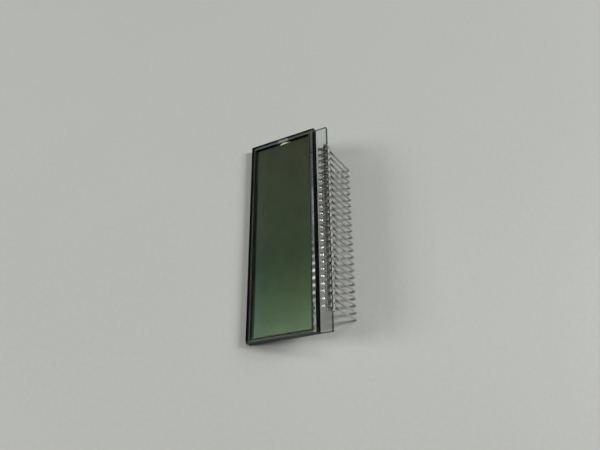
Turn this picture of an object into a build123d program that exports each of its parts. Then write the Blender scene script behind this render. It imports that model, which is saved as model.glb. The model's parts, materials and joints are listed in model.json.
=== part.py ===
from build123d import *
import math
import os

# A segment liquid-crystal display: two sheets of glass with a cell between them, a polariser
# on each side, and one row of metal pins clipped to the ledge where the rear glass is wider.
# It is laid out flat, with X across the glass, Y along it and Z up through the sheets, and the
# rear glass has its back at Z = 0. At the end it is tipped onto its long edge and its pin
# tips, which is how it lies on a table. All lengths are in millimetres.

# Glass
panel_length = 60.0
rear_glass_width = 24.0
ledge_width = 3.3
glass_thickness = 1.1
glass_chamfer = 0.05

# Films on the outer faces, with their margins from the edges of the front glass
polariser_thickness = 0.2
reflector_thickness = 0.08
polariser_left_margin = 1.75
polariser_ledge_margin = 1.55
polariser_near_margin = 0.9
polariser_far_margin = 1.5
rear_film_left_margin = 1.05
rear_film_ledge_margin = 2.4
rear_film_near_margin = 1.35
rear_film_far_margin = 1.4

# Cell between the sheets
cell_gap = 0.1
electrode_thickness = 0.02
seal_width = 0.58
seal_ledge_width = 0.88
seal_inset = 0.3
seal_ledge_inset = 0.75

# Fill port in the far side of the seal, closed by a plug of resin
port_width = 3.2
port_middle = 10.3
plug_depth = 1.95
plug_flare = 0.8
plug_meniscus_depth = 0.6
plug_bulge = 0.4
plug_bulge_height = 1.0

# Electrodes: digits of seven bars in pairs, with a colon between the pairs, and as many pairs
# as fit under the polariser
digits_in_pair = 2
digit_height = 11.0
digit_width = 6.2
digit_spacing = 2.0
pair_spacing = 4.0
least_digit_end_margin = 2.0
bar_width = 1.2
bar_gap = 0.15
colon_dot_radius = 0.7
colon_dot_spacing = 4.4
common_margin = 0.5
common_split = 0.3
common_tail_width = 0.8

# Leads from the pins to the cell, and the dots that carry the two commons across the gap
lead_width = 1.1
lead_edge_margin = 0.25
lead_reach_past_seal = 0.5
crossover_width = 0.5
crossover_length = 0.8

# Pins, as many as fit between the margins at the ends of the glass
pin_pitch = 2.0
pin_near_margin = 6.35
least_pin_far_margin = 7.6
metal_thickness = 0.3
clip_width = 1.3
clip_edge_clearance = 0.1
finger_width = 0.9
finger_reach = 2.35
finger_contact_reach = 1.45
finger_tip_lift = 0.55
finger_rise = 0.55
finger_contact_gap = 0.05
finger_bend_radius = 0.7
arm_reach = 2.1
arm_contact_reach = 1.5
arm_tip_drop = 0.3
arm_drop = 0.4
arm_contact_gap = 0.02
arm_slit = 0.1
shoulder_radius = 0.35
arm_bend_radius = 0.25
arm_contact_bend_radius = 0.5
leg_width = 0.5
leg_length = 11.85
leg_splay = 3.0
leg_bend_radius = 1.0
tip_width = 0.24
tip_taper_length = 0.7

# Paste under each finger, and the clear bead over the clips
paste_radius = 0.5
paste_height = 0.1
bead_near_overhang = 1.35
bead_far_overhang = 1.65
bead_inner_reach = 1.15
bead_outer_reach = 0.65
bead_height = 0.65
bead_drop = 0.12
bead_end_radius = 0.4

# Levels and edges that follow from the sizes above
front_glass_width = rear_glass_width - ledge_width
ledge_level = glass_thickness
lead_level = ledge_level + electrode_thickness
cell_top = ledge_level + cell_gap
common_level = cell_top - electrode_thickness
front_top = cell_top + glass_thickness
pin_count = 1 + int((panel_length - pin_near_margin - least_pin_far_margin) / pin_pitch)
pin_places = [pin_near_margin + i * pin_pitch for i in range(pin_count)]

# The area of the rear films
rear_film_start = (rear_film_left_margin, rear_film_near_margin)
rear_film_end = (front_glass_width - rear_film_ledge_margin, panel_length - rear_film_far_margin)

# The area under the front polariser, and the row of digits in its middle
view_left = polariser_left_margin
view_right = front_glass_width - polariser_ledge_margin
view_near = polariser_near_margin
view_far = panel_length - polariser_far_margin
pair_length = digits_in_pair * digit_width + (digits_in_pair - 1) * digit_spacing
room_for_pairs = view_far - view_near - 2 * least_digit_end_margin + pair_spacing
pair_count = int(room_for_pairs / (pair_length + pair_spacing))
row_length = pair_count * pair_length + (pair_count - 1) * pair_spacing
row_near = (view_near + view_far - row_length) / 2
row_far = row_near + row_length
digit_head = (view_left + view_right - digit_height) / 2
digit_foot = digit_head + digit_height


def box_between(low, high):
    """A box given by its lowest and highest corners."""
    size = [b - a for a, b in zip(low, high)]
    return Pos(*low) * Box(*size, align=(Align.MIN, Align.MIN, Align.MIN))


def sheet(width, level):
    """A cut sheet of glass with its edges just broken."""
    glass = box_between((0, 0, level), (width, panel_length, level + glass_thickness))
    return chamfer(glass.edges(), glass_chamfer)


def film(start, end, level, thickness):
    """A film on the glass, with the places of its near left and far right corners."""
    return box_between((*start, level), (*end, level + thickness))


def rear_film(level, thickness):
    """A film on the back, where the polariser and the reflector have one outline."""
    return film(rear_film_start, rear_film_end, level, thickness)


def flat_shape(points, level, thickness):
    """A flat piece with straight sides, standing on the given level."""
    outline = make_face(Polyline(*points, close=True))
    return Pos(0, 0, level) * extrude(outline, thickness)


# Electrodes

def bar(start, end):
    """The outline of one bar of a digit: six sides, pointed at both ends."""
    (x0, y0), (x1, y1) = start, end
    length = math.hypot(x1 - x0, y1 - y0)
    ax, ay = (x1 - x0) / length, (y1 - y0) / length
    half = bar_width / 2

    def at(along, across):
        return (x0 + along * ax - across * ay, y0 + along * ay + across * ax)

    first, last = bar_gap, length - bar_gap
    return [
        at(first, 0),
        at(first + half, half),
        at(last - half, half),
        at(last, 0),
        at(last - half, -half),
        at(first + half, -half),
    ]


def digit_bars(start):
    """The seven bars of one digit, which stands with its head away from the pins."""
    half = bar_width / 2
    top, bottom = digit_head + half, digit_foot - half
    middle = (top + bottom) / 2
    left, right = start + half, start + digit_width - half
    strokes = [((x, left), (x, right)) for x in (top, middle, bottom)]
    for y in (left, right):
        strokes += [((top, y), (middle, y)), ((middle, y), (bottom, y))]
    return [bar(start, end) for start, end in strokes]


def make_segment_electrodes():
    """The bars of all the digits, and the two dots of each colon, on the rear glass."""
    middle = (digit_head + digit_foot) / 2
    dot = extrude(Circle(colon_dot_radius), electrode_thickness)
    pieces = []
    for pair in range(pair_count):
        pair_start = row_near + pair * (pair_length + pair_spacing)
        for digit in range(digits_in_pair):
            for outline in digit_bars(pair_start + digit * (digit_width + digit_spacing)):
                pieces.append(flat_shape(outline, ledge_level, electrode_thickness))
        if pair < pair_count - 1:
            y = pair_start + pair_length + pair_spacing / 2
            for x in (middle - colon_dot_spacing / 2, middle + colon_dot_spacing / 2):
                pieces.append(Pos(x, y, ledge_level) * dot)
    return pieces


def make_common_electrodes():
    """Two bands on the front glass, one over each half of the digits, with tails to the seal."""
    middle = (digit_head + digit_foot) / 2
    seal_outer = front_glass_width - seal_ledge_inset
    first_y, last_y = pin_places[0], pin_places[-1]
    half_tail = common_tail_width / 2
    near = min(row_near, first_y - half_tail) - common_margin
    far = max(row_far, last_y + half_tail) + common_margin
    # The band nearer the pins has its tail at the near end, the other one at the far end,
    # where it runs round the end of its neighbour.
    head = digit_head - common_margin
    split = middle - common_split / 2
    foot_start = middle + common_split / 2
    foot = digit_foot + common_margin
    tail_inner = last_y - half_tail
    foot_band = [
        (foot_start, near), (foot, near), (foot, first_y - half_tail),
        (seal_outer, first_y - half_tail), (seal_outer, first_y + half_tail),
        (foot, first_y + half_tail), (foot, tail_inner - common_split),
        (foot_start, tail_inner - common_split),
    ]
    head_band = [
        (head, near), (split, near), (split, tail_inner), (seal_outer, tail_inner),
        (seal_outer, last_y + half_tail), (split, last_y + half_tail), (split, far), (head, far),
    ]
    return [flat_shape(band, common_level, electrode_thickness) for band in (foot_band, head_band)]


def make_leads():
    """One flat lead for each pin, from the edge of the ledge to just inside the seal."""
    seal_inner = front_glass_width - seal_ledge_inset - seal_ledge_width
    low_x = seal_inner - lead_reach_past_seal
    high_x = rear_glass_width - lead_edge_margin
    return [
        box_between((low_x, y - lead_width / 2, ledge_level), (high_x, y + lead_width / 2, lead_level))
        for y in pin_places
    ]


def make_crossover_dots():
    """Dots of conductive paste in the seal that join the first and last leads to the commons."""
    middle = front_glass_width - seal_ledge_inset - seal_ledge_width / 2
    return [
        box_between(
            (middle - crossover_width / 2, y - crossover_length / 2, lead_level),
            (middle + crossover_width / 2, y + crossover_length / 2, common_level),
        )
        for y in (pin_places[0], pin_places[-1])
    ]


# Cell

def make_plug():
    """The resin that closes the fill port: a flared tongue with a hollow inner end, and a drop outside."""
    half = port_width / 2
    seal_outer = panel_length - seal_inset
    seal_inner = seal_outer - seal_width
    inner_end = panel_length - plug_depth
    outline = [
        Line((port_middle - half, panel_length), (port_middle - half, seal_inner)),
        Line((port_middle - half, seal_inner), (port_middle - half - plug_flare, inner_end)),
        ThreePointArc(
            (port_middle - half - plug_flare, inner_end),
            (port_middle, inner_end + plug_meniscus_depth),
            (port_middle + half + plug_flare, inner_end),
        ),
        Line((port_middle + half + plug_flare, inner_end), (port_middle + half, seal_inner)),
        Line((port_middle + half, seal_inner), (port_middle + half, panel_length)),
        Line((port_middle + half, panel_length), (port_middle - half, panel_length)),
    ]
    tongue = Pos(0, 0, ledge_level) * extrude(make_face(outline), cell_gap)
    # The drop is a flat-backed lens on the end of the glass, over the mouth of the port.
    middle_level = ledge_level + cell_gap / 2
    lens_radius = (half ** 2 + plug_bulge ** 2) / (2 * plug_bulge)
    centre = panel_length + plug_bulge - lens_radius
    lens = Pos(port_middle, centre, middle_level) * Cylinder(lens_radius, plug_bulge_height)
    keep = box_between(
        (port_middle - half, panel_length, middle_level - plug_bulge_height / 2),
        (port_middle + half, panel_length + plug_bulge, middle_level + plug_bulge_height / 2),
    )
    return tongue + (lens & keep)


def make_seal(inner_pieces):
    """The frame of sealant between the sheets, with the fill port left open."""
    low, high = seal_inset, panel_length - seal_inset
    ledge_side = front_glass_width - seal_ledge_inset
    outer = box_between((low, low, ledge_level), (ledge_side, high, cell_top))
    inner = box_between(
        (low + seal_width, low + seal_width, ledge_level),
        (ledge_side - seal_ledge_width, high - seal_width, cell_top),
    )
    port = box_between(
        (port_middle - port_width / 2, high - seal_width, ledge_level),
        (port_middle + port_width / 2, high, cell_top),
    )
    return (outer - inner - port).cut(*inner_pieces)


def make_liquid_crystal(inner_pieces):
    """The fluid that fills the cell, round the electrodes and up to the plug."""
    start = seal_inset + seal_width
    far = panel_length - seal_inset - seal_width
    ledge_side = front_glass_width - seal_ledge_inset - seal_ledge_width
    fluid = box_between((start, start, ledge_level), (ledge_side, far, cell_top))
    return fluid.cut(*inner_pieces)


# Pins

def bent_strip(points, radii):
    """Sheet metal bent along a line in X and Z, as wide as a clip. The line is its glass side."""
    path = FilletPolyline(*points, radius=radii)
    outline = offset(path, metal_thickness, side=Side.LEFT, closed=True)
    return extrude(Plane.XZ * make_face(outline), clip_width / 2, both=True)


def make_pin():
    """One pin, centred on Y = 0: a finger on the ledge, two arms under it and the leg."""
    back = rear_glass_width + clip_edge_clearance
    contact_level = lead_level + finger_contact_gap
    finger_tip = (rear_glass_width - finger_reach, contact_level + finger_tip_lift)
    finger_contact = (rear_glass_width - finger_contact_reach, contact_level)
    shoulder = (back, contact_level + finger_rise)
    leg_start = (back, -arm_drop)
    splay = math.radians(leg_splay)
    leg_end = (back + leg_length * math.sin(splay), -arm_drop - leg_length * math.cos(splay))
    finger_and_leg = bent_strip(
        [finger_tip, finger_contact, shoulder, leg_start, leg_end],
        [finger_bend_radius, shoulder_radius, leg_bend_radius],
    )
    arm_contact = (rear_glass_width - arm_contact_reach, -arm_contact_gap)
    arm_tip = (rear_glass_width - arm_reach, -arm_contact_gap - arm_tip_drop)
    arms = bent_strip(
        [(back, ledge_level), (back, -arm_drop), arm_contact, arm_tip],
        [arm_bend_radius, arm_contact_bend_radius],
    )
    half_leg = leg_width / 2
    half_slot = half_leg + arm_slit
    lowest = leg_end[1] - metal_thickness
    beyond = back + leg_length
    arms -= box_between((0, -half_slot, lowest), (beyond, half_slot, 0))
    for side in (-1, 1):
        finger_and_leg -= finger_relief(side, back)
        finger_and_leg -= leg_relief(side, leg_end[1], beyond)
    return finger_and_leg + arms


def finger_relief(side, back):
    """What is cut from one side of the strip, so that the finger is narrower than the clip."""
    low, high = sorted((side * finger_width / 2, side * clip_width))
    above = ledge_level + finger_rise + 2 * metal_thickness + finger_tip_lift
    return box_between((0, low, ledge_level), (back - shoulder_radius, high, above))


def leg_relief(side, tip_level, beyond):
    """What is cut from one side of the strip, so that the leg is narrow and its tip tapers."""
    half_leg, half_tip = leg_width / 2, tip_width / 2
    below = tip_level - metal_thickness
    points = [
        (side * half_leg, 0),
        (side * clip_width, 0),
        (side * clip_width, below),
        (side * half_tip, below),
        (side * half_tip, tip_level),
        (side * half_leg, tip_level + tip_taper_length),
    ]
    outline = Plane.YZ * make_face(Polyline(*points, close=True))
    return extrude(outline, beyond, dir=(1, 0, 0))


def make_paste(pins):
    """A dab of conductive paste round each finger's contact."""
    x = rear_glass_width - finger_contact_reach
    dab = Pos(x, 0, lead_level) * extrude(Circle(paste_radius), paste_height)
    return [(Pos(0, y, 0) * dab) - pin for y, pin in zip(pin_places, pins)]


def make_bead(others):
    """The clear resin along the edge of the ledge, which holds the clips."""
    near = pin_places[0] - bead_near_overhang
    far = pin_places[-1] + bead_far_overhang
    inner = rear_glass_width - bead_inner_reach
    outer = rear_glass_width + bead_outer_reach
    top = ledge_level + bead_height
    middle = (inner + outer) / 2
    section = make_face([
        ThreePointArc((inner, ledge_level), (middle, top), (outer, ledge_level)),
        Line((outer, ledge_level), (outer, -bead_drop)),
        Line((outer, -bead_drop), (inner, -bead_drop)),
        Line((inner, -bead_drop), (inner, ledge_level)),
    ])
    side = make_face([
        FilletPolyline(
            (near, -bead_drop), (near, top), (far, top), (far, -bead_drop),
            radius=bead_end_radius,
        ),
        Line((far, -bead_drop), (near, -bead_drop)),
    ])
    bead = Pos(0, near, 0) * extrude(Plane.XZ * section, far - near, dir=(0, 1, 0))
    bead &= Pos(inner, 0, 0) * extrude(Plane.YZ * side, outer - inner)
    under_glass = box_between((0, near, -bead_drop), (rear_glass_width, far, ledge_level))
    return (bead - under_glass).cut(*others)


# Whole display

def resting_tilt(pin):
    """The angle at which the display lies on the long edge of its rear glass and its pin tips."""
    return max(math.atan2(-corner.Z, corner.X - glass_chamfer) for corner in pin.vertices())


def build():
    rear_glass = sheet(rear_glass_width, 0)
    front_glass = sheet(front_glass_width, cell_top)
    segments = make_segment_electrodes()
    commons = make_common_electrodes()
    leads = make_leads()
    crossovers = make_crossover_dots()
    plug = make_plug()
    one_pin = make_pin()
    pins = [Pos(0, y, 0) * one_pin for y in pin_places]
    paste = make_paste(pins)
    inner_pieces = segments + commons + leads + crossovers + [plug]
    nodes = {
        "rear_glass": rear_glass,
        "front_glass": front_glass,
        "front_polariser": film(
            (view_left, view_near), (view_right, view_far), front_top, polariser_thickness
        ),
        "rear_polariser": rear_film(-polariser_thickness, polariser_thickness),
        "reflector": rear_film(-polariser_thickness - reflector_thickness, reflector_thickness),
        "edge_seal": make_seal(inner_pieces),
        "port_plug": plug,
        "liquid_crystal": make_liquid_crystal(inner_pieces),
        "segment_electrodes": Compound(segments),
        "common_electrodes": Compound(commons),
        "pin_leads": Compound(leads),
        "crossover_dots": Compound(crossovers),
        "contact_paste": Compound(paste),
        "clip_bead": make_bead(pins + leads + paste),
    }
    for number, pin in enumerate(pins, start=1):
        nodes[f"pin_{number:02d}"] = pin
    return nodes, one_pin


def lay_down(nodes, one_pin):
    """Tips the display to its resting angle, and puts the origin under the middle of its box."""
    tilt = resting_tilt(one_pin)
    tipped = {name: Rot(0, -math.degrees(tilt), 0) * shape for name, shape in nodes.items()}
    box = Compound(list(tipped.values())).bounding_box()
    shift = Pos(-(box.min.X + box.max.X) / 2, -(box.min.Y + box.max.Y) / 2, -box.min.Z)
    return {name: shift * shape for name, shape in tipped.items()}


nodes, one_pin = build()
os.makedirs("parts", exist_ok=True)
for name, shape in lay_down(nodes, one_pin).items():
    export_step(shape, f"parts/{name}.step")
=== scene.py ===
import json
import math

import bpy
from mathutils import Matrix, Vector, noise


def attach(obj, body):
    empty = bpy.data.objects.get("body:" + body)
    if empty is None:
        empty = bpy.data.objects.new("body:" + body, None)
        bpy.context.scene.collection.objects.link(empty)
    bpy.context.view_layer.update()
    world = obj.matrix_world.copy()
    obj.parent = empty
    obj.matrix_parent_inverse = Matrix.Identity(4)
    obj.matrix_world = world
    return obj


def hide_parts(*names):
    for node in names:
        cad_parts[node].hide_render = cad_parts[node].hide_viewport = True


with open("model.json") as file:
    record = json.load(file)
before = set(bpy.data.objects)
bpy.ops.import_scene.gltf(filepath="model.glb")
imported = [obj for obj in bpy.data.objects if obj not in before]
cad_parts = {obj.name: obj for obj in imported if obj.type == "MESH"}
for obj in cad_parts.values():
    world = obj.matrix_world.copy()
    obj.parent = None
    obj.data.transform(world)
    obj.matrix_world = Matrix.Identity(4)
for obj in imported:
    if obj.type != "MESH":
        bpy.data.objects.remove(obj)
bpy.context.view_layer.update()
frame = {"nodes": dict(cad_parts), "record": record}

# The looks of a segment liquid-crystal display that lies tilted on a pale table. Pieces are
# built in the panel's own directions, in millimetres, and tipped to where the CAD has it: X
# runs across the glass to the pins, Y along it, and Z up through the sheets from the back.

MM = 0.001

# Camera, fitted to the photograph
camera_place = Vector((0.00476, -0.07405, 0.15119))
camera_aim = Vector((-0.0298, 0.4608, -0.8870))
camera_roll = math.radians(4.63)
camera_focal_length = 36.15
camera_sensor_width = 36.0

# Sheets of glass: their edges as cut and broken, in millimetres
contact_gap = 0.003
edge_step = 0.35
edge_break = 0.045
edge_break_unevenness = 0.03
wall_unevenness = 0.02
unevenness_frequency = 1.7
unevenness_row_shift = 3.1
corner_chip_reach = 0.9
corner_chip_depth = 0.28
corner_chip_fall = 1.5
corner_chip_wall_share = 0.4
margin_inset = 0.12
side_tolerance = 0.01
glass_body_tint = (0.985, 1.0, 0.99)

# Films
film_step = 1.5
film_edge_round = 0.03
film_edge_band = 0.005

# Field: painted shade darkens a strip along its left side, and painted light brightens it towards the
# pins
field_strip_width = 0.55
field_strip_fade = 0.35
field_strip_shade = 0.5
field_painted_light_width = 4.5
field_painted_light_share = 1.10

# Seal: how far in from its edges each tone starts or ends, with its painted shade and painted
# highlights, and the painted glints across the leads
highlight_streak_start = 0.6
highlight_streak_full = 0.3
lead_glint_start = 0.85
lead_glint_full = 0.55
lead_glint_full_half_width = 0.25
lead_glint_half_width = 0.6
paler_far_start = 0.75
paler_far_full = 0.5
left_shade_full = 0.12
left_shade_end = 0.24

# Bead: its fall between the clips, its waves, and how it meets the glass
bead_step = 0.125
bead_section_points = 20
bead_sag = 0.3
bead_outer_sag_share = 0.8
bead_end_length = 0.5
bead_end_least = 0.02
bead_end_width_share = 0.35
bead_wander = 0.06
bead_wander_frequency = 0.8
bead_wander_line = 4.2
bead_sink = 0.02
bead_belly = 0.03
bead_corner = 0.05
bead_flank = 0.15

# Pins: heights are from the back of the rear glass; the reach past the fingers and the leg-shade
# heights bound the painted shade on the shoulders
pin_crown_radius = 4.5
pin_grain_depth = 0.004
pin_edge_round = 0.06
pin_edge_segments = 2
pin_edge_least_angle = math.radians(50)
pin_shoulder_reach = 1.0
pin_shoulder_fade = 0.4
leg_shade_foot = -3.2
leg_shade_head = -1.2

# Fill port: lengths along the plug are from its inner end, where a crescent of painted highlight lies
plug_clear_length = 0.7
plug_clear_fade = 0.3
meniscus_peak_length = 0.63
meniscus_offset = 0.85
meniscus_half_length = 1.75
meniscus_width = 0.6
meniscus_least_width = 0.01
meniscus_sag = 0.55
meniscus_lean = 0.8
meniscus_fullness = 0.8
meniscus_depths = (0.08, 0.01)
meniscus_steps = 40

# Table and light: lengths in metres and powers in watts, and strengths for the room
table_reach = 3.0
room_dim = 0.03
room_bright = 0.07
room_bright_side = Vector((0.8, 0.0, 0.6))
room_dim_until = -0.25
room_bright_from = 0.9
background_strength = 0.75
lamps = {
    "ceiling_light": {"place": Vector((0.02, 0.29, 0.89)), "size": (0.15, 0.15), "power": 1.2},
    "right_light": {"place": Vector((0.95, 0.24, 0.82)), "size": (0.31, 0.66), "power": 13.0},
    "left_light": {"place": Vector((-1.035, -0.09, 0.60)), "size": (0.36, 0.36), "power": 9.5},
}


# Places in the panel's own directions

front_axis = next(
    mount["axis"] for mount in frame["record"]["mounts"] if mount["name"] == "front_face"
)
tipping = Matrix.Rotation(-math.atan2(-front_axis[0], front_axis[2]), 4, "Y")
untipped = [
    tipping.inverted() @ vertex.co for vertex in frame["nodes"]["rear_glass"].data.vertices
]
panel_corner = Vector([min(values) for values in zip(*untipped)])
from_panel = tipping @ Matrix.Translation(panel_corner) @ Matrix.Scale(MM, 4)
to_panel = from_panel.inverted()


def panel_box(node):
    """The lowest and highest corners of a CAD node in the panel's own directions."""
    places = [to_panel @ vertex.co for vertex in frame["nodes"][node].data.vertices]
    return (
        Vector([min(values) for values in zip(*places)]),
        Vector([max(values) for values in zip(*places)]),
    )


pins = sorted(name for name in frame["nodes"] if name.startswith("pin_") and name != "pin_leads")
pin_boxes = [panel_box(name) for name in pins]
pin_places = [(low.y + high.y) / 2 for low, high in pin_boxes]
pin_pitch = (pin_places[-1] - pin_places[0]) / (len(pins) - 1)
seal_low, seal_high = panel_box("edge_seal")
film_low, film_high = panel_box("front_polariser")
rear_film_low, rear_film_high = panel_box("rear_polariser")
plug_low, plug_high = panel_box("port_plug")
ledge_high = panel_box("rear_glass")[1]
cell_high = panel_box("front_glass")[1]


# Materials

class Recipe:
    """A material's nodes while they are put together."""

    def __init__(self, name):
        self.material = bpy.data.materials.new(name)
        self.material.use_nodes = True
        self.nodes = self.material.node_tree.nodes
        self.links = self.material.node_tree.links
        self.nodes.clear()

    def add(self, kind, inputs=(), **settings):
        """A new node. An input that is another node's output is linked, any other is set."""
        node = self.nodes.new("ShaderNode" + kind)
        for key, value in settings.items():
            setattr(node, key, value)
        for key, value in dict(inputs).items():
            if isinstance(value, bpy.types.NodeSocket):
                self.links.new(value, node.inputs[key])
            else:
                node.inputs[key].default_value = value
        return node

    def noise(self, scale, detail=3.0):
        """Noise in the object's own place; scale is the number of patches to a metre."""
        place = self.add("TexCoord").outputs["Object"]
        texture = self.add("TexNoise", {"Vector": place, "Scale": scale, "Detail": detail})
        return texture.outputs["Fac"]

    def panel_place(self):
        """The place in the panel's own directions, in millimetres, as X, Y and Z."""
        values = {
            "Vector": self.add("TexCoord").outputs["Object"],
            "Location": to_panel.to_translation(),
            "Rotation": to_panel.to_euler(),
            "Scale": to_panel.to_scale(),
        }
        place = self.add("Mapping", values).outputs["Vector"]
        return self.add("SeparateXYZ", {"Vector": place}).outputs

    def compute(self, operation, *values):
        """One value from others by a named operation."""
        return self.add("Math", dict(enumerate(values)), operation=operation).outputs[0]

    def spread(self, value, low, high, start=0.3, end=0.7):
        """The value stretched from between start and end to between low and high."""
        ramp = self.add(
            "MapRange",
            {"Value": value, "From Min": start, "From Max": end, "To Min": low, "To Max": high},
        )
        return ramp.outputs["Result"]

    def tones(self, value, *stops):
        """A colour for each value, from stops of a place and a colour."""
        ramp = self.add("ValToRGB", {"Fac": value})
        while len(ramp.color_ramp.elements) < len(stops):
            ramp.color_ramp.elements.new(0.5)
        for element, (place, colour) in zip(ramp.color_ramp.elements, stops):
            element.position = place
            element.color = (*colour, 1)
        return ramp.outputs["Color"]

    def greys(self, value, *stops):
        """Tones without colour, from stops of a place and a level."""
        return self.tones(value, *[(place, (level,) * 3) for place, level in stops])

    def blend(self, share, first, second, blend_type="MIX"):
        """Two colours mixed by a share."""
        mix = self.add("Mix", data_type="RGBA", blend_type=blend_type)
        for key, value in ((0, share), (6, first), (7, second)):
            if isinstance(value, bpy.types.NodeSocket):
                self.links.new(value, mix.inputs[key])
            else:
                mix.inputs[key].default_value = value
        return mix.outputs[2]

    def bump(self, height, distance):
        """The direction of a surface that is uneven by height times distance, in metres."""
        return self.add("Bump", {"Height": height, "Distance": distance}).outputs["Normal"]

    def finish(self, shader):
        """The material, with this shader on its surface."""
        output = self.add("OutputMaterial")
        self.links.new(shader.outputs[0], output.inputs["Surface"])
        return self.material

    def finish_clear(self, shader, shade):
        """The shader to the eye, with the shade given to the light that passes straight through."""
        is_shadow = self.add("LightPath").outputs["Is Shadow Ray"]
        straight = self.add("BsdfTransparent", {"Color": (*shade, 1)})
        mix = self.add("MixShader", {0: is_shadow, 1: shader.outputs[0], 2: straight.outputs[0]})
        return self.finish(mix)


def glass_material(name, near_tone, far_tone):
    """Clear float glass with a faint green body and light smears, in tones from near to far, which on
    the ledge are painted shade.
    """
    recipe = Recipe(name)
    roughness = recipe.spread(recipe.noise(260), 0.0, 0.025)
    normal = recipe.bump(recipe.noise(900, 4), 0.000004)
    along = recipe.spread(recipe.panel_place()["Y"], 0.0, 1.0, 0.0, ledge_high.y)
    near_tint = tuple(near_tone * part for part in glass_body_tint)
    far_tint = tuple(far_tone * part for part in glass_body_tint)
    tint = recipe.tones(along, (0.2, near_tint), (0.9, far_tint))
    values = {"Color": tint, "IOR": 1.52, "Roughness": roughness, "Normal": normal}
    return recipe.finish_clear(recipe.add("BsdfGlass", values), (0.80, 0.81, 0.80))


def glass_edge_material(name, least_dark, most_dark, shade):
    """Cut and broken edges: glossy glass with fine ridges, mixed with a dark surface that is partly
    the edge's own darkness and partly painted shade. The shade given is what passes straight through
    to what lies behind."""
    recipe = Recipe(name)
    ridges = recipe.noise(3200, 5)
    normal = recipe.bump(ridges, 0.000004)
    roughness = recipe.spread(recipe.noise(700), 0.05, 0.16)
    clear = recipe.add(
        "BsdfGlass",
        {"Color": (0.90, 0.93, 0.915, 1), "IOR": 1.52, "Roughness": roughness, "Normal": normal},
    )
    colour = recipe.tones(ridges, (0.3, (0.004, 0.007, 0.006)), (0.7, (0.012, 0.016, 0.014)))
    values = {"Base Color": colour, "Roughness": roughness, "Normal": normal}
    dark = recipe.add("BsdfPrincipled", {**values, "Specular IOR Level": 0.08})
    share = recipe.spread(recipe.noise(500, 4), least_dark, most_dark)
    mix = recipe.add("MixShader", {0: share, 1: clear.outputs[0], 2: dark.outputs[0]})
    return recipe.finish_clear(mix, (shade, 1.04 * shade, 1.02 * shade))


def painted_shade_edge_material(name, shade):
    """Painted shade: the long edges of the cell and those at its far end, blacker and duller than the
    near ones.
    """
    recipe = Recipe(name)
    patches = recipe.noise(900, 4)
    colour = recipe.tones(patches, (0.3, (0.0006, 0.0012, 0.001)), (0.7, (0.002, 0.003, 0.0025)))
    values = {
        "Base Color": colour,
        "Roughness": recipe.spread(patches, 0.3, 0.45),
        "Specular IOR Level": 0.02,
        "Normal": recipe.bump(recipe.noise(3200, 5), 0.000003),
    }
    return recipe.finish_clear(recipe.add("BsdfPrincipled", values), (shade,) * 3)


def margin_material():
    """Painted shade: a dark margin on the back of the rear glass, round the films, standing in for
    the shade on the table under the panel.
    """
    recipe = Recipe("margin_painted_shade")
    colour = recipe.tones(
        recipe.noise(900, 3), (0.3, (0.002, 0.003, 0.0025)), (0.7, (0.005, 0.008, 0.006))
    )
    return recipe.finish(recipe.add("BsdfDiffuse", {"Color": colour}))


def contact_material():
    """A face where two clear pieces touch with no air between, so that it isn't seen."""
    recipe = Recipe("optical_contact")
    return recipe.finish(recipe.add("BsdfTransparent", {"Color": (1, 1, 1, 1)}))


def polariser_material():
    """The front film: glossy, tinted and nearly smooth."""
    recipe = Recipe("polariser_film")
    roughness = recipe.spread(recipe.noise(180, 5), 0.015, 0.06)
    normal = recipe.bump(recipe.noise(1500, 2), 0.000003)
    tint = (0.62, 0.66, 0.565)
    values = {"Color": (*tint, 1), "IOR": 1.49, "Roughness": roughness, "Normal": normal}
    return recipe.finish_clear(recipe.add("BsdfGlass", values), tint)


def field_material():
    """The grey-green field of a display that is off, deeper towards the far end."""
    recipe = Recipe("display_field")
    place = recipe.panel_place()
    along = recipe.spread(place["Y"], 0.0, 1.0, rear_film_low.y, rear_film_high.y)
    across = recipe.spread(place["X"], 0.0, 1.0, rear_film_low.x, rear_film_high.x)
    cooler = recipe.tones(
        along,
        (0.0, (0.226, 0.294, 0.262)),
        (0.1, (0.158, 0.226, 0.202)),
        (0.2, (0.114, 0.163, 0.144)),
        (0.35, (0.087, 0.116, 0.098)),
        (1.0, (0.087, 0.091, 0.087)),
    )
    warmer = recipe.tones(
        along,
        (0.0, (0.252, 0.315, 0.257)),
        (0.1, (0.189, 0.234, 0.180)),
        (0.2, (0.138, 0.172, 0.125)),
        (0.35, (0.090, 0.116, 0.091)),
        (1.0, (0.097, 0.093, 0.080)),
    )
    colour = recipe.blend(across, cooler, warmer)
    grain = recipe.spread(recipe.noise(5200, 2), 0.86, 1.12)
    patches = recipe.spread(recipe.noise(150, 2), 0.95, 1.05)
    # Painted shade along the strip at the field's left side
    strip_end = rear_film_low.x + field_strip_width
    painted_shade = recipe.spread(
        place["X"], field_strip_shade, 1.0, strip_end, strip_end + field_strip_fade
    )
    # Painted light, brightening the field towards the pins
    painted_light_start = rear_film_high.x - field_painted_light_width
    painted_light = recipe.spread(
        place["X"], 1.0, field_painted_light_share, painted_light_start, rear_film_high.x
    )
    shade = recipe.compute("MULTIPLY", recipe.compute("MULTIPLY", grain, patches), painted_shade)
    shade = recipe.compute("MULTIPLY", shade, painted_light)
    colour = recipe.blend(1.0, colour, shade, "MULTIPLY")
    return recipe.finish(recipe.add("BsdfDiffuse", {"Color": colour}))


def film_edge_material():
    """The cut edge and back of the rear film."""
    recipe = Recipe("film_edge")
    colour = recipe.tones(recipe.noise(900), (0.3, (0.05, 0.055, 0.05)), (0.7, (0.08, 0.085, 0.08)))
    return recipe.finish(recipe.add("BsdfPrincipled", {"Base Color": colour, "Roughness": 0.5}))


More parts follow.
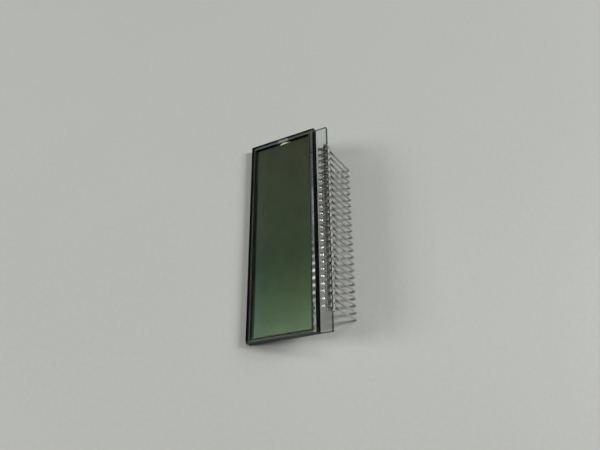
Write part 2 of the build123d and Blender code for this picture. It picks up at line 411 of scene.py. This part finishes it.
def foil_material():
    """Satin reflector foil, rolled along the panel."""
    recipe = Recipe("reflector_foil")
    place = recipe.add("TexCoord").outputs["Object"]
    stretched = recipe.add("Mapping", {"Vector": place, "Scale": (4000, 260, 4000)})
    rolled = recipe.add(
        "TexNoise", {"Vector": stretched.outputs[0], "Scale": 1.0, "Detail": 4.0}
    ).outputs["Fac"]
    colour = recipe.tones(rolled, (0.3, (0.62, 0.62, 0.60)), (0.7, (0.74, 0.74, 0.72)))
    values = {
        "Base Color": colour,
        "Metallic": 1.0,
        "Roughness": recipe.spread(rolled, 0.34, 0.5),
        "Normal": recipe.bump(rolled, 0.000004),
    }
    return recipe.finish(recipe.add("BsdfPrincipled", values))


def seal_material():
    """Slate-coloured sealant with painted shade on the left, paler at the far end. Towards the pins
    its outer edge has painted highlights: pale stripes, and glints at the leads."""
    recipe = Recipe("sealant")
    colour = recipe.tones(
        recipe.noise(1400, 4), (0.3, (0.024, 0.030, 0.026)), (0.7, (0.044, 0.052, 0.046))
    )
    place = recipe.panel_place()
    outer_edge = recipe.spread(
        place["X"], 0.0, 1.0, seal_high.x - highlight_streak_start, seal_high.x - highlight_streak_full
    )
    from_first = recipe.compute("SUBTRACT", place["Y"], pin_places[0])
    from_lead = recipe.compute("WRAP", from_first, pin_pitch / 2, -pin_pitch / 2)
    off_lead = recipe.compute("ABSOLUTE", from_lead)
    lead_glint = recipe.spread(off_lead, 1.0, 0.0, lead_glint_full_half_width, lead_glint_half_width)
    lead_glint_side = recipe.spread(
        place["X"], 0.0, 1.0, seal_high.x - lead_glint_start, seal_high.x - lead_glint_full
    )
    along = recipe.spread(place["Y"], 0.0, 1.0, seal_low.y, seal_high.y)
    highlight_streaks = recipe.greys(along, (0.08, 0.5), (0.14, 0.15), (0.42, 0.15), (0.55, 0.5), (0.75, 0.08))
    lead_glints = recipe.greys(along, (0.1, 0.25), (0.26, 1.0), (0.35, 0.3), (0.5, 0.0))
    highlight_streak = recipe.compute("MULTIPLY", highlight_streaks, recipe.spread(recipe.noise(420, 3), 0.3, 1.3))
    lead_glint = recipe.compute("MULTIPLY", recipe.compute("MULTIPLY", lead_glint, lead_glints), lead_glint_side)
    share = recipe.compute("MAXIMUM", recipe.compute("MULTIPLY", highlight_streak, outer_edge), lead_glint)
    # Painted highlights: pale stripes along the outer edge and glints at the leads
    colour = recipe.blend(share, colour, (0.98, 1.0, 0.98, 1))
    far_side = recipe.spread(
        place["Y"], 0.0, 0.7, seal_high.y - paler_far_start, seal_high.y - paler_far_full
    )
    colour = recipe.blend(far_side, colour, (0.085, 0.097, 0.086, 1))
    # Painted shade along the seal's left side, in the shade of the glass edge
    painted_shade = recipe.spread(
        place["X"], 1.0, 0.0, seal_low.x + left_shade_full, seal_low.x + left_shade_end
    )
    colour = recipe.blend(painted_shade, colour, (0.003, 0.004, 0.0035, 1))
    return recipe.finish(recipe.add("BsdfPrincipled", {"Base Color": colour, "Roughness": 0.6}))


def port_material():
    """Cloudy grey resin, clearer and so darker towards its inner end."""
    recipe = Recipe("port_resin")
    cloudy = recipe.tones(recipe.noise(1600), (0.3, (0.20, 0.21, 0.19)), (0.7, (0.30, 0.31, 0.29)))
    clearer = recipe.tones(
        recipe.noise(1600), (0.3, (0.02, 0.024, 0.02)), (0.7, (0.04, 0.045, 0.04))
    )
    place = recipe.panel_place()
    clear_end = plug_low.y + plug_clear_length
    outwards = recipe.spread(place["Y"], 0.0, 1.0, clear_end, clear_end + plug_clear_fade)
    colour = recipe.blend(outwards, clearer, cloudy)
    values = {"Base Color": colour, "Roughness": 0.25, "IOR": 1.5}
    return recipe.finish(recipe.add("BsdfPrincipled", values))


def meniscus_highlight_material():
    """A painted highlight: the hollow edge of the plug, coloured as if it catches the light."""
    recipe = Recipe("plug_meniscus_highlight")
    colour = recipe.tones(recipe.noise(2500), (0.3, (0.95, 0.93, 0.72)), (0.7, (1.0, 0.99, 0.84)))
    return recipe.finish(recipe.add("BsdfDiffuse", {"Color": colour}))


def faint_material(name, tone):
    """A layer that is all but clear: the fluid and the electrodes."""
    recipe = Recipe(name)
    darker = tuple(0.985 * part for part in tone)
    colour = recipe.tones(recipe.noise(1200), (0.3, darker), (0.7, tone))
    return recipe.finish(recipe.add("BsdfTransparent", {"Color": colour}))


def paste_material():
    """Silvery grey conductive paste."""
    recipe = Recipe("conductive_paste")
    colour = recipe.tones(recipe.noise(4000), (0.3, (0.30, 0.30, 0.29)), (0.7, (0.52, 0.52, 0.5)))
    values = {"Base Color": colour, "Metallic": 0.4, "Roughness": 0.55}
    return recipe.finish(recipe.add("BsdfPrincipled", values))


def crossover_material():
    """The conductive dots in the seal, nearly as dark as the seal."""
    recipe = Recipe("crossover_paste")
    colour = recipe.tones(
        recipe.noise(3000), (0.3, (0.010, 0.014, 0.012)), (0.7, (0.022, 0.028, 0.025))
    )
    return recipe.finish(recipe.add("BsdfPrincipled", {"Base Color": colour, "Roughness": 0.6}))


def bead_material():
    """Clear resin, toned darker with painted shade, wavy where it set."""
    recipe = Recipe("clear_resin")
    roughness = recipe.spread(recipe.noise(800), 0.10, 0.22)
    normal = recipe.bump(recipe.noise(700, 3), 0.00003)
    tint = (0.64, 0.645, 0.625, 1)
    values = {"Color": tint, "IOR": 1.2, "Roughness": roughness, "Normal": normal}
    return recipe.finish_clear(recipe.add("BsdfGlass", values), (0.86, 0.87, 0.85))


def pin_material():
    """Tinned metal, satin and crowned across the strips, with duller patches. The shoulders and the
    tops of the legs are darkened with painted shade."""
    recipe = Recipe("tinned_metal")
    patches = recipe.noise(1300, 4)
    colour = recipe.tones(patches, (0.3, (0.42, 0.415, 0.395)), (0.7, (0.60, 0.60, 0.585)))
    place = recipe.panel_place()
    # Painted shade on the shoulders and the tops of the legs, which are also made rougher there
    shoulder_start = ledge_high.x - pin_shoulder_reach
    past_finger = recipe.spread(
        place["X"], 0.0, 1.0, shoulder_start, shoulder_start + pin_shoulder_fade
    )
    above_leg = recipe.spread(place["Z"], 0.0, 1.0, leg_shade_foot, leg_shade_head)
    shoulder_painted_shade = recipe.compute("MULTIPLY", past_finger, above_leg)
    colour = recipe.blend(shoulder_painted_shade, colour, (0.10, 0.10, 0.095, 1))
    roughness = recipe.spread(patches, 0.25, 0.15)
    roughness = recipe.compute("MULTIPLY_ADD", shoulder_painted_shade, 0.25, roughness)
    from_first = recipe.compute("SUBTRACT", place["Y"], pin_places[0])
    off_middle = recipe.compute("WRAP", from_first, pin_pitch / 2, -pin_pitch / 2)
    squared = recipe.compute("MULTIPLY", off_middle, off_middle)
    crown = recipe.compute("MULTIPLY", squared, -0.5 / pin_crown_radius)
    height = recipe.compute("MULTIPLY_ADD", recipe.noise(5200, 3), pin_grain_depth, crown)
    values = {
        "Base Color": colour,
        "Metallic": 1.0,
        "Roughness": roughness,
        "Normal": recipe.bump(height, MM),
    }
    return recipe.finish(recipe.add("BsdfPrincipled", values))


def floor_material():
    """A pale grey table top with a very fine grain."""
    recipe = Recipe("table_top")
    broad = recipe.noise(9, 3)
    fine = recipe.noise(900, 4)
    share = recipe.compute("ADD", broad, fine)
    colour = recipe.tones(
        recipe.spread(share, 0.0, 1.0, 0.6, 1.4),
        (0.0, (0.435, 0.447, 0.418)),
        (1.0, (0.475, 0.487, 0.458)),
    )
    values = {
        "Base Color": colour,
        "Roughness": 0.55,
        "Normal": recipe.bump(fine, 0.00001),
    }
    return recipe.finish(recipe.add("BsdfPrincipled", values))


# Meshes

def piece(name, points, faces, materials, material_of_face=None, smooth=False):
    """A mesh from points in the panel's own directions, tipped to its place."""
    mesh = bpy.data.meshes.new(name)
    mesh.from_pydata([from_panel @ Vector(point) for point in points], [], faces)
    for material in materials:
        mesh.materials.append(material)
    for polygon in mesh.polygons:
        polygon.use_smooth = smooth
        if material_of_face:
            polygon.material_index = material_of_face[polygon.index]
    made = bpy.data.objects.new(name, mesh)
    bpy.context.scene.collection.objects.link(made)
    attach(made, "root")
    return made


def skin(loops):
    """The quads between loops that all have as many points, from the first loop to the last."""
    count = len(loops[0])
    faces = []
    for row in range(len(loops) - 1):
        for i in range(count):
            j = (i + 1) % count
            below, above = row * count, (row + 1) * count
            faces.append((below + i, below + j, above + j, above + i))
    return faces


def rectangle_stations(low, high, step):
    """Places along a rectangle's sides: the share across and along, and the way inwards."""
    across = max(2, round((high.x - low.x) / step))
    along = max(2, round((high.y - low.y) / step))
    stations = [(i / across, 0, 0, 1) for i in range(across)]
    stations += [(1, i / along, -1, 0) for i in range(along)]
    stations += [(1 - i / across, 1, 0, -1) for i in range(across)]
    stations += [(0, 1 - i / along, 1, 0) for i in range(along)]
    turned = []
    for fx, fy, nx, ny in stations:
        if fx in (0, 1) and fy in (0, 1):
            nx, ny = 1 - 2 * fx, 1 - 2 * fy
        turned.append((fx, fy, nx, ny))
    return turned


def capped(loops):
    """The points of closed loops, the quads between them, and a cap on each end."""
    points = [point for loop in loops for point in loop]
    count = len(loops[0])
    first_cap = tuple(reversed(range(count)))
    last_cap = tuple(range(len(points) - count, len(points)))
    return points, skin(loops) + [first_cap, last_cap]


def glass_sheet(name, node, lower_window, upper_window, border_material, clear_corners, seed):
    """A cut sheet of glass with worn edges. Its windows are where films and the cell touch it.
    Its edges are dark with painted shade where the cell is behind them, and clearer along the ledge
    and at the clear corners. The border is the face round the lower window."""
    low, high = panel_box(node)
    low = low + Vector((0, 0, contact_gap))
    high = high - Vector((0, 0, contact_gap))
    stations = rectangle_stations(low, high, edge_step)

    def at(station, level, inset):
        """The point of a station at a level, moved inwards."""
        fx, fy, nx, ny = station
        x = low.x + fx * (high.x - low.x) + nx * inset
        y = low.y + fy * (high.y - low.y) + ny * inset
        return (x, y, level)

    def uneven(station, row, size):
        """A wander along a row's edge, up to a size."""
        x, y, _ = at(station, 0, 0)
        shift = seed + row * unevenness_row_shift
        return size * noise.noise(Vector((x * unevenness_frequency, y * unevenness_frequency, shift)))

    def chip(station, share):
        """The depth of the chip at the near left corner, nothing further away."""
        x, y, _ = at(station, 0, 0)
        nearness = max(0.0, 1 - math.hypot(x, y) / corner_chip_reach)
        return share * corner_chip_depth * nearness ** corner_chip_fall

    def broken(station, row, share):
        """How far an edge is broken, with a share of the chip."""
        return edge_break + uneven(station, row, edge_break_unevenness) + chip(station, share)

    def window_loop(window, level):
        """A loop with as many points as the sheet's outline, round a window in its face."""
        (x0, y0), (x1, y1) = window
        return [(x0 + fx * (x1 - x0), y0 + fy * (y1 - y0), level) for fx, fy, _, _ in stations]

    def wall(row, share_up):
        """A loop round the cut sides, a share of the way up."""
        level = low.z + share_up * (high.z - low.z)
        return [at(s, level, wall_unevenness + uneven(s, row, wall_unevenness)) for s in stations]

    cell_outline = (
        (low.x + margin_inset, low.y + margin_inset),
        (cell_high.x - margin_inset, high.y - margin_inset),
    )
    loops = [
        window_loop(lower_window, low.z),
        window_loop(cell_outline, low.z),
        [at(s, low.z, broken(s, 1, 0)) for s in stations],
        [at(s, low.z + broken(s, 2, 0), wall_unevenness) for s in stations],
        wall(3, 0.25),
        wall(4, 0.5),
        wall(5, 0.75),
        [
            at(s, high.z - broken(s, 6, 1), wall_unevenness + chip(s, corner_chip_wall_share))
            for s in stations
        ],
        [at(s, high.z, broken(s, 7, 1)) for s in stations],
        window_loop(upper_window, high.z),
    ]
    points, faces = capped(loops)
    clear, ledge_face, dark_edge, ledge_edge, black_edge, pin_side, contact, border = range(8)

    def kind(face):
        """The place in the list of materials of one quad, from its row and its side."""
        row, number = divmod(face, len(stations))
        x, y, _ = at(stations[number], 0, 0)
        on_cell = x < cell_high.x + side_tolerance
        if row == 0:
            return border
        if row == len(loops) - 2:
            return clear if on_cell else ledge_face
        if row == 1 and not on_cell:
            return ledge_face
        chipped = any(math.dist((x, y), corner) < corner_chip_reach for corner in clear_corners)
        if chipped or not on_cell:
            return ledge_edge
        if x < low.x + side_tolerance or y > high.y - side_tolerance:
            return black_edge
        return pin_side if x > high.x - side_tolerance else dark_edge

    kinds = [kind(face) for face in range(len(faces) - 2)] + [contact, contact]
    edges = [dark_glass_edge, ledge_glass_edge, painted_shade_edge, pin_side_edge]
    materials = [glass, ledge_glass, *edges, touching, border_material]
    made = piece(name, points, faces, materials, kinds)
    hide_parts(node)


def film_piece(name, node, below, above, side, contact_below, contact_above):
    """A film with its cut edge; below, above and side are the materials of its faces."""
    low, high = panel_box(node)
    low = low + Vector((0, 0, contact_gap if contact_below else 0))
    high = high - Vector((0, 0, contact_gap if contact_above else 0))
    stations = rectangle_stations(low, high, film_step)
    rounding = min(film_edge_round, (high.z - low.z) / 3)

    def loop(level, inset):
        """The film's outline at a level, moved inwards."""
        return [
            (
                low.x + fx * (high.x - low.x) + nx * inset,
                low.y + fy * (high.y - low.y) + ny * inset,
                level,
            )
            for fx, fy, nx, ny in stations
        ]

    lower = 0 if contact_below else rounding
    upper = 0 if contact_above else rounding
    points, faces = capped([
        loop(low.z, lower),
        loop(low.z + lower + film_edge_band, 0),
        loop(high.z - upper - film_edge_band, 0),
        loop(high.z, upper),
    ])
    kinds = [2] * (len(faces) - 2) + [0, 1]
    made = piece(name, points, faces, [below, above, side], kinds)
    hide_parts(node)


def clip_bead():
    """The bead of resin over the clips, fuller at each clip and thinner between them."""
    low, high = panel_box("clip_bead")
    middle = (low.x + high.x) / 2
    steps = round((high.y - low.y) / bead_step)
    loops = []
    for step in range(steps + 1):
        y = low.y + (high.y - low.y) * step / steps
        from_end = min(y - low.y, high.y - y) / bead_end_length
        end = math.sqrt(1 - (1 - min(1, from_end + bead_end_least)) ** 2)
        phase = 2 * math.pi * (y - pin_places[0]) / pin_pitch
        sag = bead_sag * (0.5 - 0.5 * math.cos(phase))
        wave = noise.noise(Vector((y * bead_wander_frequency, bead_wander_line, 0)))
        height = (high.z - ledge_high.z) * end * (1 - sag + bead_wander * wave - bead_wander)
        reach = (high.x - middle) * (bead_end_width_share + (1 - bead_end_width_share) * end)
        loop = []
        for i in range(bead_section_points):
            angle = math.pi * i / (bead_section_points - 1)
            side_sag = bead_outer_sag_share * sag if math.cos(angle) > 0 else sag
            x = middle + reach * math.cos(angle) * (1 - side_sag)
            loop.append((x, y, ledge_high.z + height * math.sin(angle)))
        inner_x = loop[-1][0]
        outer_x = loop[0][0]
        bottom = low.z * end
        loop += [
            (inner_x, y, ledge_high.z - bead_sink),
            (ledge_high.x - bead_sink, y, ledge_high.z - bead_sink),
            (ledge_high.x - bead_sink, y, bottom),
            ((ledge_high.x + outer_x) / 2, y, bottom - bead_belly * end),
            (outer_x - bead_corner, y, bottom + bead_corner),
            (outer_x, y, bottom + bead_flank * end),
        ]
        loops.append(loop)
    points, faces = capped(loops)
    made = piece("resin_bead", points, faces, [resin], smooth=True)
    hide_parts("clip_bead")


def plug_meniscus_highlight():
    """A painted highlight: the bright crescent along the plug's hollow inner end."""
    crystal_high = panel_box("liquid_crystal")[1]
    middle = (plug_low.x + plug_high.x) / 2 + meniscus_offset
    radius = (meniscus_half_length ** 2 + meniscus_sag ** 2) / (2 * meniscus_sag)
    centre_y = plug_low.y + meniscus_peak_length - radius
    outer, inner = [], []
    for i in range(meniscus_steps + 1):
        share = i / meniscus_steps
        x = middle - meniscus_half_length + 2 * meniscus_half_length * share
        y = centre_y + math.sqrt(max(0, radius ** 2 - (x - middle) ** 2))
        swelling = max(0, math.sin(math.pi * share ** meniscus_lean))
        width = meniscus_width * swelling ** meniscus_fullness + meniscus_least_width
        outer.append((x, y))
        inner.append((x, y - width))
    outline = outer + inner[::-1]
    levels = [crystal_high.z - depth for depth in meniscus_depths]
    points, faces = capped([[(x, y, level) for x, y in outline] for level in levels])
    made = piece("plug_meniscus_highlight", points, faces, [meniscus_highlight])


def dress(node, material):
    """Gives a CAD node its material."""
    mesh = frame["nodes"][node].data
    mesh.materials.clear()
    mesh.materials.append(material)


# Build

glass = glass_material("float_glass", 0.97, 0.97)
# The ledge glass is toned darker than the cell's, most at its near end: painted shade for the dim
# table under it
ledge_glass = glass_material("ledge_glass", 0.94, 0.96)
# The darkness of these edges and of the margin is painted shade
dark_glass_edge = glass_edge_material("cell_glass_edge", 1.0, 1.0, 0.5)
painted_shade_edge = painted_shade_edge_material("painted_shade_glass_edge", 0.03)
pin_side_edge = painted_shade_edge_material("pin_side_glass_edge", 0.5)
painted_shade_margin = margin_material()
ledge_glass_edge = glass_edge_material("ledge_glass_edge", 0.40, 0.56, 0.2)
touching = contact_material()
resin = bead_material()
meniscus_highlight = meniscus_highlight_material()
polariser = polariser_material()
field = field_material()
film_edge = film_edge_material()
foil = foil_material()

cell_window = ((seal_low.x, seal_low.y), (seal_high.x, seal_high.y))
front_window = ((film_low.x, film_low.y), (film_high.x, film_high.y))
rear_window = ((rear_film_low.x, rear_film_low.y), (rear_film_high.x, rear_film_high.y))
clear_corners = [(0, 0), tuple(cell_high.xy)]
glass_sheet(
    "front_sheet", "front_glass", cell_window, front_window, glass, clear_corners, seed=1.0
)
glass_sheet("rear_sheet", "rear_glass", rear_window, cell_window, painted_shade_margin, [], seed=9.0)
film_piece(
    "front_film", "front_polariser", touching, polariser, film_edge,
    contact_below=True, contact_above=False,
)
film_piece(
    "rear_film", "rear_polariser", film_edge, field, film_edge,
    contact_below=False, contact_above=True,
)
clip_bead()
plug_meniscus_highlight()

dress("reflector", foil)
dress("edge_seal", seal_material())
dress("port_plug", port_material())
dress("liquid_crystal", faint_material("liquid_crystal", (0.995, 1.0, 0.99)))
clear_layer = faint_material("electrode_film", (0.99, 0.995, 0.985))
for electrode in ("segment_electrodes", "common_electrodes", "pin_leads"):
    dress(electrode, clear_layer)
dress("contact_paste", paste_material())
dress("crossover_dots", crossover_material())
metal = pin_material()
for pin in pins:
    dress(pin, metal)
    rounding = frame["nodes"][pin].modifiers.new("rounded_edges", "BEVEL")
    rounding.width = pin_edge_round * MM
    rounding.segments = pin_edge_segments
    rounding.limit_method = "ANGLE"
    rounding.angle_limit = pin_edge_least_angle


# Stage

def table_top():
    """The pale table that the display lies on."""
    mesh = bpy.data.meshes.new("table")
    sides = [(-1, -1), (1, -1), (1, 1), (-1, 1)]
    corners = [(table_reach * x, table_reach * y, 0) for x, y in sides]
    mesh.from_pydata(corners, [], [(0, 1, 2, 3)])
    mesh.materials.append(floor_material())
    table = bpy.data.objects.new("table", mesh)
    bpy.context.scene.collection.objects.link(table)


def soft_light(name, place, size, power):
    """A lamp that faces the object; its size is its width and height."""
    light = bpy.data.lights.new(name, "AREA")
    light.shape = "RECTANGLE"
    light.size, light.size_y = size
    light.energy = power
    lamp = bpy.data.objects.new(name, light)
    lamp.location = place
    lamp.rotation_euler = (-place).to_track_quat("-Z", "Y").to_euler()
    bpy.context.scene.collection.objects.link(lamp)


def room_light():
    """Soft light from all round, dimmer on the left, with a pale background to the eye."""
    world = bpy.data.worlds.new("room")
    world.use_nodes = True
    nodes, links = world.node_tree.nodes, world.node_tree.links
    nodes.clear()
    direction = nodes.new("ShaderNodeTexCoord").outputs["Generated"]
    towards = nodes.new("ShaderNodeVectorMath")
    towards.operation = "DOT_PRODUCT"
    links.new(direction, towards.inputs[0])
    towards.inputs[1].default_value = room_bright_side
    ramp = nodes.new("ShaderNodeMapRange")
    links.new(towards.outputs["Value"], ramp.inputs["Value"])
    ramp.inputs["From Min"].default_value = room_dim_until
    ramp.inputs["From Max"].default_value = room_bright_from
    ramp.inputs["To Min"].default_value = room_dim
    ramp.inputs["To Max"].default_value = room_bright
    camera_ray = nodes.new("ShaderNodeLightPath").outputs["Is Camera Ray"]
    strength = nodes.new("ShaderNodeMix")
    links.new(camera_ray, strength.inputs["Factor"])
    links.new(ramp.outputs["Result"], strength.inputs["A"])
    strength.inputs["B"].default_value = background_strength
    background = nodes.new("ShaderNodeBackground")
    background.inputs["Color"].default_value = (1.0, 1.0, 0.985, 1)
    links.new(strength.outputs["Result"], background.inputs["Strength"])
    output = nodes.new("ShaderNodeOutputWorld")
    links.new(background.outputs[0], output.inputs["Surface"])
    bpy.context.scene.world = world


def place_camera():
    """The camera at the photograph's angle."""
    lens = bpy.data.cameras.new("camera")
    lens.sensor_width = camera_sensor_width
    lens.lens = camera_focal_length
    lens.clip_start = 0.01
    camera = bpy.data.objects.new("camera", lens)
    camera.location = camera_place
    aimed = camera_aim.to_track_quat("-Z", "Y")
    rolled = aimed.to_matrix().to_4x4() @ Matrix.Rotation(-camera_roll, 4, "Z")
    camera.rotation_euler = rolled.to_euler()
    bpy.context.scene.collection.objects.link(camera)
    bpy.context.scene.camera = camera


table_top()
for name, lamp in lamps.items():
    soft_light(name, **lamp)
room_light()
place_camera()

scene = bpy.context.scene
scene.view_settings.view_transform = "Standard"
scene.cycles.max_bounces = 24
scene.cycles.transmission_bounces = 20
scene.cycles.transparent_max_bounces = 48
